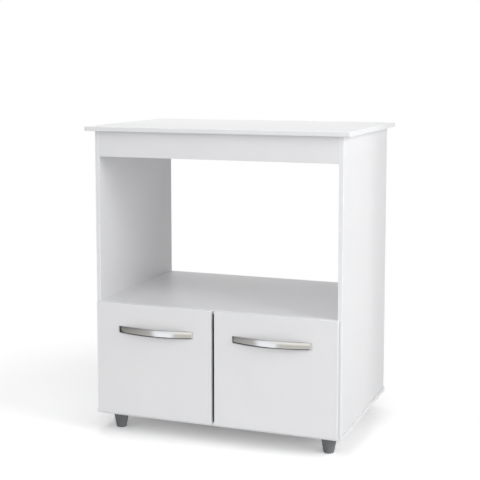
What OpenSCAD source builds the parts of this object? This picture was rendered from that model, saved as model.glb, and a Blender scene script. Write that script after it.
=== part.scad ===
// Microwave cabinet: an open oven niche over a two-door cupboard, on four tapered feet.
// The front faces -Y, the floor is at Z = 0 and the origin is the middle of the footprint.

/* [Carcass] */
// Width over the two side boards
body_w = 700; // [600:10:900]
// Depth of the side boards, front to back
body_d = 480; // [400:10:560]
// Height from the base board's underside to the top surface
body_h = 800; // [700:10:900]
// Thickness of every board of the carcass
board_t = 12; // [12:0.5:18]
// Overhang of the top board past each side
top_side_lip = 22.5; // [5:0.5:40]
// Overhang of the top board past the front
top_front_lip = 20; // [5:1:30]
// Radius of the top board's two front corners
top_corner_r = 4; // [1:0.5:12]
// Overhang of the base board past each side
base_lip = 3; // [0:0.5:5]
// Height of the two rails under the top board
rail_h = 70; // [50:5:100]
// Thickness of the hardboard back panel
back_t = 3; // [2.5:0.5:4]

/* [Doors] */
// Height of the doors
door_h = 309; // [250:1:400]
// Thickness of the doors
door_t = 12; // [12:0.5:16]
// Lap of each door over the edge of its side board
door_lap = 5; // [4:0.5:6]
// Gap between the two doors
door_split = 8; // [3:0.5:12]
// Height of the doors' lower edge above the base board's underside
door_rise = 9; // [5:0.5:11]
// Air between a closed door and the carcass
door_air = 3; // [2.9:0.1:4]

/* [Handles] */
// Length of a handle
handle_l = 220; // [200:5:260]
// Height of a handle at its ends
handle_end_h = 19; // [14:1:24]
// Height of a handle at its middle
handle_mid_h = 21; // [14:1:28]
// Reach of a handle in front of its door
handle_reach = 20; // [18:1:35]
// Thickness of the bow at its middle
handle_bow_t = 4; // [3:0.5:5]
// Distance between the two screws of a handle
handle_screw_span = 192; // [180:4:192]
// Depth of a handle's middle below the door's top edge
handle_drop = 71; // [40:1:120]
// Distance from the cabinet's outer side to a handle's middle
handle_in = 184.5; // [160:0.5:185]

/* [Feet] */
// Height of a foot
foot_h = 50; // [40:5:80]
// Diameter of a foot at the cabinet
foot_top_d = 47; // [40:1:56]
// Diameter of a foot at the floor
foot_floor_d = 29; // [24:1:36]
// Distance from a side board's outer face to a foot's middle
foot_side = 46.5; // [30:0.5:80]
// Distance from the carcass front or rear to a foot's middle
foot_end = 50; // [30:1:90]

/* [Hinges] */
// Diameter of a hinge cup
cup_d = 26; // [26:1:28]
// Distance from a door's end to the hinge's middle
hinge_end = 60; // [40:1:90]

/* [Fixings] */
// Diameter of the wooden dowels
dowel_d = 6; // [5:0.5:7]
// Diameter of the cam discs
cam_d = 12; // [11:0.5:14]
// Distance from a joint to the middle of its cam disc
cam_reach = 24; // [20:1:30]
// Length of the screws that hold the base board
base_screw_l = 40; // [35:1:50]
// Radial clearance round pins, bolts and dowels
slack = 0.05; // [0.02:0.01:0.08]

/* [Hidden] */
$fn = 48;
// Overlap of a cut past the face that it opens
cut = 1;

// Main planes of the carcass
side_x = body_w / 2;
inner_x = side_x - board_t;
front_y = -(body_d + back_t - door_air - door_t - handle_reach) / 2;
rear_y = front_y + body_d;
base_z = foot_h;
deck_z = base_z + board_t;
shelf_top_z = base_z + door_rise + door_h;
shelf_z = shelf_top_z - board_t;
top_z = base_z + body_h - board_t;
rail_z = top_z - rail_h;

// Doors
door_low_z = base_z + door_rise;
door_edge_x = inner_x + door_lap;
door_back_y = front_y - door_air;
door_front_y = door_back_y - door_t;

// Handles: the bow is an arc through both blunt ends and the middle
handle_x = side_x - handle_in;
handle_z = door_low_z + door_h - handle_drop;
handle_tip = 3;
handle_solid_l = 25;
handle_bite = 5;
handle_screw_d = 4;
handle_head_d = 8;
handle_head_h = 2.2;
handle_bow_fn = 180;

// Feet
foot_edge_r = 2;
foot_recess_d = 11;
foot_roof_t = 14;
foot_screw_d = 4;
foot_screw_bite = 9;
foot_head_h = 3;
foot_head_room = 1;
foot_head_d = foot_recess_d - 2 * foot_head_room;

// Hinge, in its own frame: X = 0 on the side board's inner face, Y = 0 on the carcass front,
// Z = 0 at the hinge's middle. The pivot's place in the door lets the door's edge swing clear.
pivot_inset = 6.3;
pivot_sink = 6.5;
pivot_x = pivot_inset - door_lap;
pivot_y = -door_air - pivot_sink;
pin_d = 1.8;
pin_l = 11;
cup_margin = 3;
cup_x = cup_margin + cup_d / 2 - door_lap;
cup_depth = 10;
cup_floor = 0.8;
cup_gap = 0.1;
cup_flange_t = 1;
cup_flange_l = 50;
cup_flange_w = 13;
cup_screw_x = cup_x + 5.5;
cup_screw_z = 19;
cup_screw_d = 3.5;
cup_screw_l = 9;
cup_screw_head_d = 6.4;
cup_screw_head_h = 0.6;
cup_screw_slot = [3.4, 0.8, 0.3];
pocket_h = 8.4;
pocket_gap = 0.3;
knuckle_d = 3.6;
arm_t = 1.6;
arm_neck_h = 7.8;
arm_neck_reach = 10;
arm_bend_r = 2.4;
arm_h = 14;
arm_start_y = 6;
arm_l = 50;
arm_rail_x = 3.2;
arm_x = pivot_x + arm_neck_reach + arm_t / 2;
plate_t = 2;
plate_y = 18;
plate_w = 28;
plate_l = 44;
plate_block_y = 12;
plate_block_w = 38;
plate_screw_y = plate_y + plate_w / 2;
plate_screw_z = 16;
plate_screw_d = 3.5;
plate_screw_l = 11;
plate_screw_head_d = 6.6;
plate_screw_head_h = 1.6;
plate_gap = 0.1;
arm_screw_y = 43;
adjust_screw_y = 22;
arm_screw_d = 4;
arm_screw_head_d = 7;
arm_screw_head_h = 1.8;
arm_screw_l = 7;
hinge_low_z = door_low_z + hinge_end;
hinge_high_z = door_low_z + door_h - hinge_end;

// Bumpers on the carcass front, just short of the closed doors
bumper_d = 6;
bumper_gap = 0.3;
bumper_edge = 0.2;
bumper_in = 20;
bumper_t = door_air - bumper_gap;
bumper_x = door_split / 2 + bumper_in;
bumper_zs = [deck_z - bumper_edge - bumper_d / 2, shelf_z + board_t / 2];

// Joints between boards. A seat is a place and a turn: its Z axis runs out of the face of one
// board into the end of the next, and a cam disc opens towards its +X.
fix_end = 70;
peg_end = 38;
fix_ys = [front_y + fix_end, rear_y - fix_end];
peg_ys = [front_y + peg_end, rear_y - peg_end];
rail_mid_z = rail_z + rail_h / 2;
rail_peg_edge = 13;
rail_peg_step = rail_h / 2 - rail_peg_edge;
to_right = [0, 90, 0];
to_down = [180, 0, 0];
from_front = [90, 0, 90];
from_rear = [-90, 0, -90];
side_mid_x = side_x - board_t / 2;
front_rail_y = front_y + board_t / 2;
rear_rail_y = rear_y - board_t / 2;
shelf_mid_z = shelf_z + board_t / 2;

shelf_cams = [for (y = fix_ys) [[-inner_x, y, shelf_mid_z], to_right]];
shelf_pegs = [for (y = peg_ys) [[-inner_x, y, shelf_mid_z], to_right]];
top_cams = [for (y = fix_ys) [[-side_mid_x, y, top_z], to_down]];
top_pegs = [for (y = peg_ys) [[-side_mid_x, y, top_z], to_down]];
front_rail_cams = [[[-inner_x, front_rail_y, rail_mid_z], from_front]];
rear_rail_cams = [[[-inner_x, rear_rail_y, rail_mid_z], from_rear]];
front_rail_pegs = rail_pegs(front_rail_y);
rear_rail_pegs = rail_pegs(rear_rail_y);
base_pegs = [for (y = peg_ys) [[-side_mid_x, y, deck_z], [0, 0, 0]]];
base_screws = [for (y = fix_ys) [[-side_mid_x, y, base_z], [0, 0, 0]]];
function rail_pegs(y) =
    [for (step = [-1, 1]) [[-inner_x, y, rail_mid_z + step * rail_peg_step], to_right]];

// Dowels and cams
dowel_face = 8;
dowel_edge = 15;
dowel_room = 0.5;
cam_past = 3;
cam_depth = board_t / 2 + cam_past;
cam_room = 0.2;
cam_bolt_d = 5;
cam_bolt_face = 8;
cam_bolt_room = 0.2;
cam_neck_d = 3;
cam_neck_l = 3;
cam_head_l = 3;
cam_bore_d = 6;
cam_slot = [6, 1.2, 1.8];

// Screws up through the base board
base_screw_d = 5;
base_screw_head_d = 8;
base_screw_head_h = 3;
hex_key_d = 3.4;
hex_key_depth = 2;

// Screw heads: the draw-in from rim to crown, and the length, width and depth of the cross recess
head_dome = 1;
cross_cut = [4, 1, 1.2];

// Back panel and its nails
back_inset = 2;
nail_d = 1.6;
nail_l = 15;
nail_head_d = 4;
nail_head_h = 0.8;
side_nail_zs = [for (i = [1:3]) deck_z + (shelf_z - deck_z) * i / 4];
row_nail_end = 40;
row_nail_xs = [for (i = [-3:2:3]) i * (inner_x - row_nail_end) / 3];
row_nail_zs = [base_z + board_t / 2, shelf_mid_z];

white = "#f4f4f3";
grey_plastic = "#636567";
satin_metal = "#c4c2be";
zinc = "#b9bcc0";
beech = "#cfab7c";
hardboard = "#8f6a48";
white_pad = "#ececec";

// A block between two opposite corners
module block(low, high) {
    translate(low) cube(high - low);
}

// What is drawn for the left half, and its mirror image for the right half
module both_sides() {
    children();
    mirror([1, 0, 0]) children();
}

// What is drawn for the left side, moved to the side that is asked for
module on_side(side) {
    if (side == "right") mirror([1, 0, 0]) children();
    else children();
}

// A copy of the children at each seat of a list
module at_seats(seats) {
    for (seat = seats) translate(seat[0]) rotate(seat[1]) children();
}

// Board joints: the fastenings in their seats' own frame, and the holes that they need

module dowel() {
    translate([0, 0, -dowel_face]) cylinder(d = dowel_d, h = dowel_face + dowel_edge);
}

module dowel_hole() {
    translate([0, 0, -dowel_face - dowel_room])
        cylinder(d = dowel_d + 2 * slack, h = dowel_face + dowel_edge + 2 * dowel_room);
}

module cam_bolt() {
    shank_l = cam_reach - cam_neck_l - cam_head_l / 2;
    translate([0, 0, -cam_bolt_face]) cylinder(d = cam_bolt_d, h = cam_bolt_face + shank_l);
    cylinder(d = cam_neck_d, h = cam_reach);
    translate([0, 0, cam_reach - cam_head_l / 2]) cylinder(d = cam_bolt_d, h = cam_head_l);
}

module cam_disc() {
    face_z = cam_depth - cam_room;
    translate([-cam_past, 0, cam_reach]) rotate([0, 90, 0]) difference() {
        cylinder(d = cam_d - 2 * cam_room, h = face_z);
        translate([-cam_head_l / 2 - cam_bolt_room, 0, cam_past]) rotate([0, 90, 0])
            cylinder(d = cam_bolt_d + 2 * cam_bolt_room, h = cam_d);
        for (turn = [0, 90]) rotate(turn) translate([0, 0, face_z])
            cube([cam_slot.x, cam_slot.y, 2 * cam_slot.z], center = true);
    }
}

module cam_hole() {
    translate([0, 0, -cam_bolt_face - dowel_room])
        cylinder(d = cam_bolt_d + 2 * slack, h = cam_bolt_face + dowel_room + cut);
    cylinder(d = cam_bore_d, h = cam_reach);
    translate([-cam_past, 0, cam_reach]) rotate([0, 90, 0]) cylinder(d = cam_d, h = cam_depth + cut);
}

module base_screw() {
    difference() {
        union() {
            cylinder(d1 = base_screw_head_d, d2 = base_screw_d, h = base_screw_head_h);
            cylinder(d = base_screw_d, h = base_screw_l);
        }
        translate([0, 0, -cut]) cylinder(d = hex_key_d, h = hex_key_depth + cut, $fn = 6);
    }
}

module base_screw_hole() {
    cylinder(
        d1 = base_screw_head_d + 2 * slack, d2 = base_screw_d + 2 * slack, h = base_screw_head_h
    );
    translate([0, 0, -cut]) cylinder(d = base_screw_d + 2 * slack, h = base_screw_l + dowel_room + cut);
}

module shelf_joint_cuts() {
    both_sides() {
        at_seats(shelf_cams) cam_hole();
        at_seats(shelf_pegs) dowel_hole();
    }
}

module top_joint_cuts() {
    both_sides() {
        at_seats(top_cams) cam_hole();
        at_seats(top_pegs) dowel_hole();
    }
}

module front_rail_cuts() {
    both_sides() {
        at_seats(front_rail_cams) cam_hole();
        at_seats(front_rail_pegs) dowel_hole();
    }
}

module rear_rail_cuts() {
    both_sides() {
        at_seats(rear_rail_cams) cam_hole();
        at_seats(rear_rail_pegs) dowel_hole();
    }
}

module base_joint_cuts() {
    both_sides() {
        at_seats(base_screws) base_screw_hole();
        at_seats(base_pegs) dowel_hole();
    }
}

module plate_screw_cuts() {
    both_sides() {
        for (z = [hinge_low_z, hinge_high_z]) translate([-inner_x, front_y, z]) plate_screw_holes();
    }
}

// Carcass boards

module base_board() {
    color(white) difference() {
        block([-side_x - base_lip, front_y, base_z], [side_x + base_lip, rear_y, deck_z]);
        base_joint_cuts();
        at_feet() foot_screw_hole();
        back_nail_holes();
    }
}

module side_board() {
    difference() {
        block([-side_x, front_y, deck_z], [-inner_x, rear_y, top_z]);
        shelf_joint_cuts();
        top_joint_cuts();
        front_rail_cuts();
        rear_rail_cuts();
        base_joint_cuts();
        plate_screw_cuts();
        back_nail_holes();
    }
}

module left_side() {
    color(white) side_board();
}

module right_side() {
    color(white) on_side("right") side_board();
}

module niche_shelf() {
    color(white) difference() {
        block([-inner_x, front_y, shelf_z], [inner_x, rear_y, shelf_top_z]);
        shelf_joint_cuts();
        back_nail_holes();
    }
}

module front_rail() {
    color(white) difference() {
        block([-inner_x, front_y, rail_z], [inner_x, front_y + board_t, top_z]);
        front_rail_cuts();
    }
}

module rear_rail() {
    color(white) difference() {
        block([-inner_x, rear_y - board_t, rail_z], [inner_x, rear_y, top_z]);
        rear_rail_cuts();
    }
}

module top_board() {
    half_w = side_x + top_side_lip;
    lip_y = front_y - top_front_lip;
    color(white) difference() {
        translate([0, 0, top_z]) linear_extrude(board_t) union() {
            translate([-half_w, lip_y + top_corner_r])
                square([2 * half_w, rear_y - lip_y - top_corner_r]);
            translate([-half_w + top_corner_r, lip_y])
                square([2 * (half_w - top_corner_r), 2 * top_corner_r]);
            for (x = [-1, 1]) translate([x * (half_w - top_corner_r), lip_y + top_corner_r])
                circle(r = top_corner_r);
        }
        top_joint_cuts();
    }
}

module back_panel() {
    color(hardboard) difference() {
        block(
            [-side_x + back_inset, rear_y, base_z + back_inset],
            [side_x - back_inset, rear_y + back_t, shelf_top_z - back_inset]
        );
        back_nail_holes();
    }
}

// Nails through the back panel into the rear edges of the boards

module at_nails() {
    for (x = [-side_mid_x, side_mid_x]) {
        for (z = side_nail_zs) translate([x, rear_y + back_t, z]) rotate([90, 0, 0]) children();
    }
    for (x = row_nail_xs) {
        for (z = row_nail_zs) translate([x, rear_y + back_t, z]) rotate([90, 0, 0]) children();
    }
}

module back_nails() {
    color(zinc) at_nails() {
        cylinder(d = nail_head_d, h = nail_head_h);
        cylinder(d = nail_d, h = nail_l);
    }
}

module back_nail_holes() {
    at_nails() {
        translate([0, 0, -cut]) cylinder(d = nail_head_d + 2 * slack, h = nail_head_h + cut);
        cylinder(d = nail_d + 2 * slack, h = nail_l + dowel_room);
    }
}

// Feet: tapered plastic, each on one screw up a recess in its middle

module at_feet() {
    for (x = [foot_side - side_x, side_x - foot_side]) {
        for (y = [front_y + foot_end, rear_y - foot_end]) translate([x, y, 0]) children();
    }
}

module foot() {
    floor_r = foot_floor_d / 2;
    color(grey_plastic) difference() {
        rotate_extrude() polygon(concat(
            [[0, 0]],
            [for (a = [-90:22.5:0]) [
                floor_r - foot_edge_r + foot_edge_r * cos(a),
                foot_edge_r + foot_edge_r * sin(a)
            ]],
            [[foot_top_d / 2, foot_h], [0, foot_h]]
        ));
        translate([0, 0, -cut]) cylinder(d = foot_recess_d, h = foot_h - foot_roof_t + cut);
        foot_screw_hole();
    }
}

module foot_screw_hole() {
    translate([0, 0, foot_h - foot_roof_t - cut])
        cylinder(d = foot_screw_d + 2 * slack, h = foot_roof_t + foot_screw_bite + dowel_room + cut);
}

module foot_screws() {
    head_z = foot_h - foot_roof_t;
    color(zinc) at_feet() difference() {
        union() {
            translate([0, 0, head_z - foot_head_h])
                cylinder(d1 = foot_head_d - 2 * head_dome, d2 = foot_head_d, h = foot_head_h);
            translate([0, 0, head_z - cut])
                cylinder(d = foot_screw_d, h = foot_roof_t + foot_screw_bite + cut);
        }
        translate([0, 0, head_z - foot_head_h]) cross_slot();
    }
}

// The cross recess of a screw head whose face is at Z = 0, opening downwards
module cross_slot() {
    for (turn = [0, 90]) rotate(turn)
        cube([cross_cut.x, cross_cut.y, 2 * cross_cut.z], center = true);
}

module foot_front_left() {
    translate([foot_side - side_x, front_y + foot_end, 0]) foot();
}

module foot_front_right() {
    translate([side_x - foot_side, front_y + foot_end, 0]) foot();
}

module foot_rear_left() {
    translate([foot_side - side_x, rear_y - foot_end, 0]) foot();
}

module foot_rear_right() {
    translate([side_x - foot_side, rear_y - foot_end, 0]) foot();
}

// Doors, drilled from the back for the cups and from front to back for the handle screws

module door() {
    difference() {
        block(
            [-door_edge_x, door_front_y, door_low_z],
            [-door_split / 2, door_back_y, door_low_z + door_h]
        );
        for (z = [hinge_low_z, hinge_high_z]) translate([-inner_x, front_y, z]) {
            cup_seat() cylinder(d = cup_d, h = cup_depth + cup_gap);
            cup_screw_holes();
        }
        at_handle_screws() translate([0, 0, -door_t - cut])
            cylinder(d = handle_screw_d + 2 * slack, h = door_t + 2 * cut);
    }
}

module left_door() {
    color(white) door();
}

module right_door() {
    color(white) on_side("right") door();
}

// Handles: a bow with a blunt solid end at each side, screwed from inside the door

// The point on the door's face behind each screw, with +Z pointing out of the door's back
module at_handle_screws() {
    for (side = [-1, 1]) {
        translate([-handle_x + side * handle_screw_span / 2, door_back_y, handle_z])
            rotate([-90, 0, 0]) children();
    }
}

// Radius of the arc that rises by rise over half a chord of length half
function arc_r(half, rise) = (half * half + rise * rise) / (2 * rise);

// A round segment that stands on Y = 0, half long each way and rise high, less a blunt base
module segment(half, rise, base) {
    r = arc_r(half, rise - base);
    intersection() {
        translate([0, rise - r]) circle(r = r, $fn = handle_bow_fn);
        translate([-half, 0]) square([2 * half, rise + cut]);
    }
}

module handle() {
    half = handle_l / 2;
    side_rise = (handle_mid_h - handle_end_h) / 2;
    translate([-handle_x, door_front_y, handle_z]) difference() {
        intersection() {
            translate([0, 0, -handle_mid_h / 2]) linear_extrude(handle_mid_h)
                mirror([0, 1, 0]) difference() {
                    segment(half, handle_reach, handle_tip);
                    segment(half - handle_solid_l, handle_reach - handle_bow_t, 0);
                }
            for (flip = [0, 1]) mirror([0, 0, flip]) rotate([90, 0, 0])
                translate([0, 0, -cut]) linear_extrude(handle_reach + 2 * cut) union() {
                    translate([-half, -handle_end_h / 2]) square([2 * half, handle_end_h]);
                    translate([0, handle_end_h / 2]) segment_plan(half, side_rise);
                    translate([0, -handle_end_h / 2]) mirror([0, 1]) segment_plan(half, side_rise);
                }
        }
        for (side = [-1, 1]) translate([side * handle_screw_span / 2, cut, 0]) rotate([90, 0, 0])
            cylinder(d = handle_screw_d + 2 * slack, h = handle_bite + dowel_room + cut);
    }
}

// The shallow swell of a handle's upper or lower edge
module segment_plan(half, rise) {
    if (rise > 0) segment(half, rise, 0);
}

module left_handle() {
    color(satin_metal) handle();
}

module right_handle() {
    color(satin_metal) on_side("right") handle();
}

module handle_screws() {
    at_handle_screws() difference() {
        union() {
            cylinder(d1 = handle_head_d, d2 = handle_head_d - 2 * head_dome, h = handle_head_h);
            translate([0, 0, -door_t - handle_bite])
                cylinder(d = handle_screw_d, h = door_t + handle_bite + cut);
        }
        translate([0, 0, handle_head_h]) cross_slot();
    }
}

module left_handle_screws() {
    color(zinc) handle_screws();
}

module right_handle_screws() {
    color(zinc) on_side("right") handle_screws();
}

// Hinges, in the hinge's own frame on the left side

// What is drawn with Z = 0 on the door's back and +Z into the door, at the cup's middle
module cup_seat() {
    translate([cup_x, -door_air, 0]) rotate([90, 0, 0]) children();
}

module at_cup_screws() {
    for (z = [-cup_screw_z, cup_screw_z]) {
        translate([cup_screw_x, cup_flange_t - door_air, z]) rotate([90, 0, 0]) children();
    }
}

module cup_screw_holes() {
    at_cup_screws() translate([0, 0, -cut])
        cylinder(d = cup_screw_d + 2 * slack, h = cup_screw_l + dowel_room + cut);
}

module cup_screws() {
    at_cup_screws() difference() {
        union() {
            translate([0, 0, -cup_screw_head_h]) cylinder(d = cup_screw_head_d, h = cup_screw_head_h);
            cylinder(d = cup_screw_d, h = cup_screw_l);
        }
        translate([0, 0, -cup_screw_head_h])
            cube([cup_screw_slot.x, cup_screw_slot.y, 2 * cup_screw_slot.z], center = true);
    }
}

module hinge_cup() {
    pocket_x = pivot_x - knuckle_d / 2 - pocket_gap;
    color(zinc) difference() {
        union() {
            cup_seat() cylinder(d = cup_d - 2 * cup_gap, h = cup_depth);
            cup_seat() translate([0, 0, -cup_flange_t]) {
                cylinder(d = cup_d - 2 * cup_gap, h = cup_flange_t);
                translate([cup_screw_x - cup_x - cup_flange_w / 2, -cup_flange_l / 2, 0])
                    cube([cup_flange_w, cup_flange_l, cup_flange_t]);
            }
        }
        block(
            [pocket_x, cup_floor - cup_depth - door_air, -pocket_h / 2],
            [cup_x + cup_d / 2 - cup_margin, cup_flange_t + cut - door_air, pocket_h / 2]
        );
        translate([pivot_x, pivot_y, -pin_l / 2 - slack])
            cylinder(d = pin_d + 2 * slack, h = pin_l + 2 * slack);
        cup_screw_holes();
    }
}

module hinge_pin() {
    color(zinc) translate([pivot_x, pivot_y, -pin_l / 2]) cylinder(d = pin_d, h = pin_l);
}

// The goose-neck's side view: out of the cup, round the bend and back into the cabinet
module neck_plan() {
    translate([pivot_x, pivot_y - arm_t / 2])
        square([arm_neck_reach + arm_t / 2 - arm_bend_r, arm_t]);
    translate([arm_x - arm_t, pivot_y - arm_t / 2 + arm_bend_r])
        square([arm_t, arm_start_y + arm_t - pivot_y - arm_bend_r]);
    translate([arm_x - arm_bend_r, pivot_y - arm_t / 2 + arm_bend_r]) intersection() {
        difference() {
            circle(r = arm_bend_r);
            circle(r = arm_bend_r - arm_t);
        }
        translate([0, -arm_bend_r]) square(arm_bend_r);
    }
    translate([pivot_x, pivot_y]) circle(d = knuckle_d);
}

module hinge_arm() {
    color(zinc) difference() {
        union() {
            translate([0, 0, -arm_neck_h / 2]) linear_extrude(arm_neck_h) neck_plan();
            difference() {
                block([arm_rail_x, arm_start_y, -arm_h / 2], [arm_x, arm_start_y + arm_l, arm_h / 2]);
                block(
                    [arm_rail_x - cut, arm_start_y - cut, arm_t / 2 - arm_h / 2],
                    [arm_x - arm_t, arm_start_y + arm_l + cut, arm_h / 2 - arm_t / 2]
                );
            }
        }
        translate([pivot_x, pivot_y, -arm_neck_h]) cylinder(d = pin_d + 2 * slack, h = 2 * arm_neck_h);
        at_arm_screws() cylinder(d = arm_screw_d + 2 * slack, h = 3 * arm_t, center = true);
    }
}

// The outer face of the arm over each of its two screws, with +Z into the mounting plate
module at_arm_screws() {
    for (y = [arm_screw_y, adjust_screw_y]) translate([arm_x, y, 0]) rotate([0, -90, 0]) children();
}

module arm_screw() {
    difference() {
        union() {
            translate([0, 0, -arm_screw_head_h]) cylinder(d = arm_screw_head_d, h = arm_screw_head_h);
            cylinder(d = arm_screw_d, h = arm_screw_l);
        }
        translate([0, 0, -arm_screw_head_h]) cross_slot();
    }
}

module hinge_plate() {
    block_h = arm_h - arm_t - 2 * plate_gap;
    color(zinc) difference() {
        union() {
            block([0, plate_y, -plate_l / 2], [plate_t, plate_y + plate_w, plate_l / 2]);
            block(
                [0, plate_block_y, -block_h / 2],
                [arm_x - arm_t, plate_block_y + plate_block_w, block_h / 2]
            );
        }
        plate_screw_holes();
        at_arm_screws() cylinder(d = arm_screw_d + 2 * slack, h = arm_screw_l + slack);
    }
}

module at_plate_screws() {
    for (z = [-plate_screw_z, plate_screw_z]) {
        translate([plate_t, plate_screw_y, z]) rotate([0, -90, 0]) children();
    }
}

module plate_screw_holes() {
    at_plate_screws() translate([0, 0, -cut])
        cylinder(d = plate_screw_d + 2 * slack, h = plate_screw_l + dowel_room + cut - plate_t);
}

module plate_screw() {
    difference() {
        union() {
            translate([0, 0, -plate_screw_head_h]) cylinder(
                d1 = plate_screw_head_d - 2 * head_dome, d2 = plate_screw_head_d, h = plate_screw_head_h
            );
            cylinder(d = plate_screw_d, h = plate_screw_l - plate_t);
        }
        translate([0, 0, -plate_screw_head_h]) cross_slot();
    }
}

module at_hinge(side, z) {
    on_side(side) translate([-inner_x, front_y, z]) children();
}

module at_all_hinges() {
    for (side = ["left", "right"], z = [hinge_low_z, hinge_high_z]) at_hinge(side, z) children();
}

module plate_screws() {
    color(zinc) at_all_hinges() at_plate_screws() plate_screw();
}

module arm_screws() {
    color(zinc) at_all_hinges() at_arm_screws() arm_screw();
}

module left_cup_screws() {
    color(zinc) for (z = [hinge_low_z, hinge_high_z]) at_hinge("left", z) cup_screws();
}

module right_cup_screws() {
    color(zinc) for (z = [hinge_low_z, hinge_high_z]) at_hinge("right", z) cup_screws();
}

// Loose hardware of the carcass

module door_bumpers() {
    color(white_pad) both_sides() {
        for (z = bumper_zs) translate([-bumper_x, front_y, z]) rotate([90, 0, 0])
            cylinder(d = bumper_d, h = bumper_t);
    }
}

module all_cams() {
    both_sides() at_seats(concat(shelf_cams, top_cams, front_rail_cams, rear_rail_cams)) children();
}

module cam_bolts() {
    color(zinc) all_cams() cam_bolt();
}

module cam_discs() {
    color(zinc) all_cams() cam_disc();
}

module dowels() {
    color(beech) both_sides()
        at_seats(concat(shelf_pegs, top_pegs, front_rail_pegs, rear_rail_pegs, base_pegs)) dowel();
}

module base_screws_long() {
    color(zinc) both_sides() at_seats(base_screws) base_screw();
}

base_board();
left_side();
right_side();
niche_shelf();
front_rail();
rear_rail();
top_board();
back_panel();
foot_front_left();
foot_front_right();
foot_rear_left();
foot_rear_right();
foot_screws();
left_door();
right_door();
left_handle();
right_handle();
left_handle_screws();
right_handle_screws();
at_hinge("left", hinge_high_z) hinge_cup();  // hinge_cup_left_upper
at_hinge("left", hinge_low_z) hinge_cup();  // hinge_cup_left_lower
at_hinge("right", hinge_high_z) hinge_cup();  // hinge_cup_right_upper
at_hinge("right", hinge_low_z) hinge_cup();  // hinge_cup_right_lower
at_hinge("left", hinge_high_z) hinge_pin();  // hinge_pin_left_upper
at_hinge("left", hinge_low_z) hinge_pin();  // hinge_pin_left_lower
at_hinge("right", hinge_high_z) hinge_pin();  // hinge_pin_right_upper
at_hinge("right", hinge_low_z) hinge_pin();  // hinge_pin_right_lower
at_hinge("left", hinge_high_z) hinge_arm();  // hinge_arm_left_upper
at_hinge("left", hinge_low_z) hinge_arm();  // hinge_arm_left_lower
at_hinge("right", hinge_high_z) hinge_arm();  // hinge_arm_right_upper
at_hinge("right", hinge_low_z) hinge_arm();  // hinge_arm_right_lower
at_hinge("left", hinge_high_z) hinge_plate();  // hinge_plate_left_upper
at_hinge("left", hinge_low_z) hinge_plate();  // hinge_plate_left_lower
at_hinge("right", hinge_high_z) hinge_plate();  // hinge_plate_right_upper
at_hinge("right", hinge_low_z) hinge_plate();  // hinge_plate_right_lower
left_cup_screws();
right_cup_screws();
plate_screws();
arm_screws();
door_bumpers();
cam_bolts();
cam_discs();
dowels();
base_screws_long();
back_nails();
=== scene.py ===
import math

import bmesh
import bpy
from mathutils import Matrix, Vector


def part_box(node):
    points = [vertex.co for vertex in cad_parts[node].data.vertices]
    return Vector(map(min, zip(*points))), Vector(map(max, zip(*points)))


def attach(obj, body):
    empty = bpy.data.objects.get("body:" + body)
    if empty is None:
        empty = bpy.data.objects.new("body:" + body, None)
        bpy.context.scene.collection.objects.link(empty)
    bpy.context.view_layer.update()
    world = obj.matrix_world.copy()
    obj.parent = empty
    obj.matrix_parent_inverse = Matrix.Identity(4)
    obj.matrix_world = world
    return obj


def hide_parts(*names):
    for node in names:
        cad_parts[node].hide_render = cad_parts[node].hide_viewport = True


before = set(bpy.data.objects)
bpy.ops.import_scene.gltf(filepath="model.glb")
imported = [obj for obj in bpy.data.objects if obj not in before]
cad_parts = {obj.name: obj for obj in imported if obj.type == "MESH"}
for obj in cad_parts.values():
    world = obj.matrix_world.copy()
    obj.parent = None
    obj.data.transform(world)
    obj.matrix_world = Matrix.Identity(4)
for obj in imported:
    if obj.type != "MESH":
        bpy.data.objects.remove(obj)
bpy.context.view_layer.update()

# A white kitchen cabinet: a microwave goes on its top and an oven in its open niche, over a
# cupboard with two doors. The front faces -Y and the floor is at Z = 0, in metres.


# The studio
# A level white floor that fades into white air, a softbox to the right and one overhead and a
# little behind, and soft light from the front and from behind on the left. A net dims the light
# on the rear of the right side, and a glowing curved card is there for the handles to reflect.

def linear(hex_colour):
    """The linear values, with an alpha of 1, of a hex sRGB colour."""
    parts = [int(hex_colour[i:i + 2], 16) / 255 for i in (1, 3, 5)]
    return [c / 12.92 if c <= 0.04045 else ((c + 0.055) / 1.055) ** 2.4 for c in parts] + [1.0]


def add(tree, kind, inputs=(), **settings):
    """Adds a node, with its settings and with its sockets linked or given a value. A shader
    node's kind is short, such as Math, and any other node's is its full type."""
    made = tree.nodes.new(kind if "Node" in kind else "ShaderNode" + kind)
    for key, value in settings.items():
        setattr(made, key, value)
    for socket, value in dict(inputs).items():
        if isinstance(value, bpy.types.NodeSocket):
            tree.links.new(value, made.inputs[socket])
        else:
            made.inputs[socket].default_value = value
    return made


def finish_of(name):
    """An empty material of that name, and its node tree."""
    material = bpy.data.materials.new(name)
    material.use_nodes = True
    material.node_tree.nodes.clear()
    return material, material.node_tree


def made_of(name, verts, faces, material):
    """A new object from points and faces, in the frame's own place and units."""
    mesh = bpy.data.meshes.new(name)
    mesh.from_pydata(verts, [], faces)
    mesh.materials.append(material)
    thing = bpy.data.objects.new(name, mesh)
    bpy.context.scene.collection.objects.link(thing)
    return thing


scene = bpy.context.scene
scene.view_settings.view_transform = "Standard"

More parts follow.
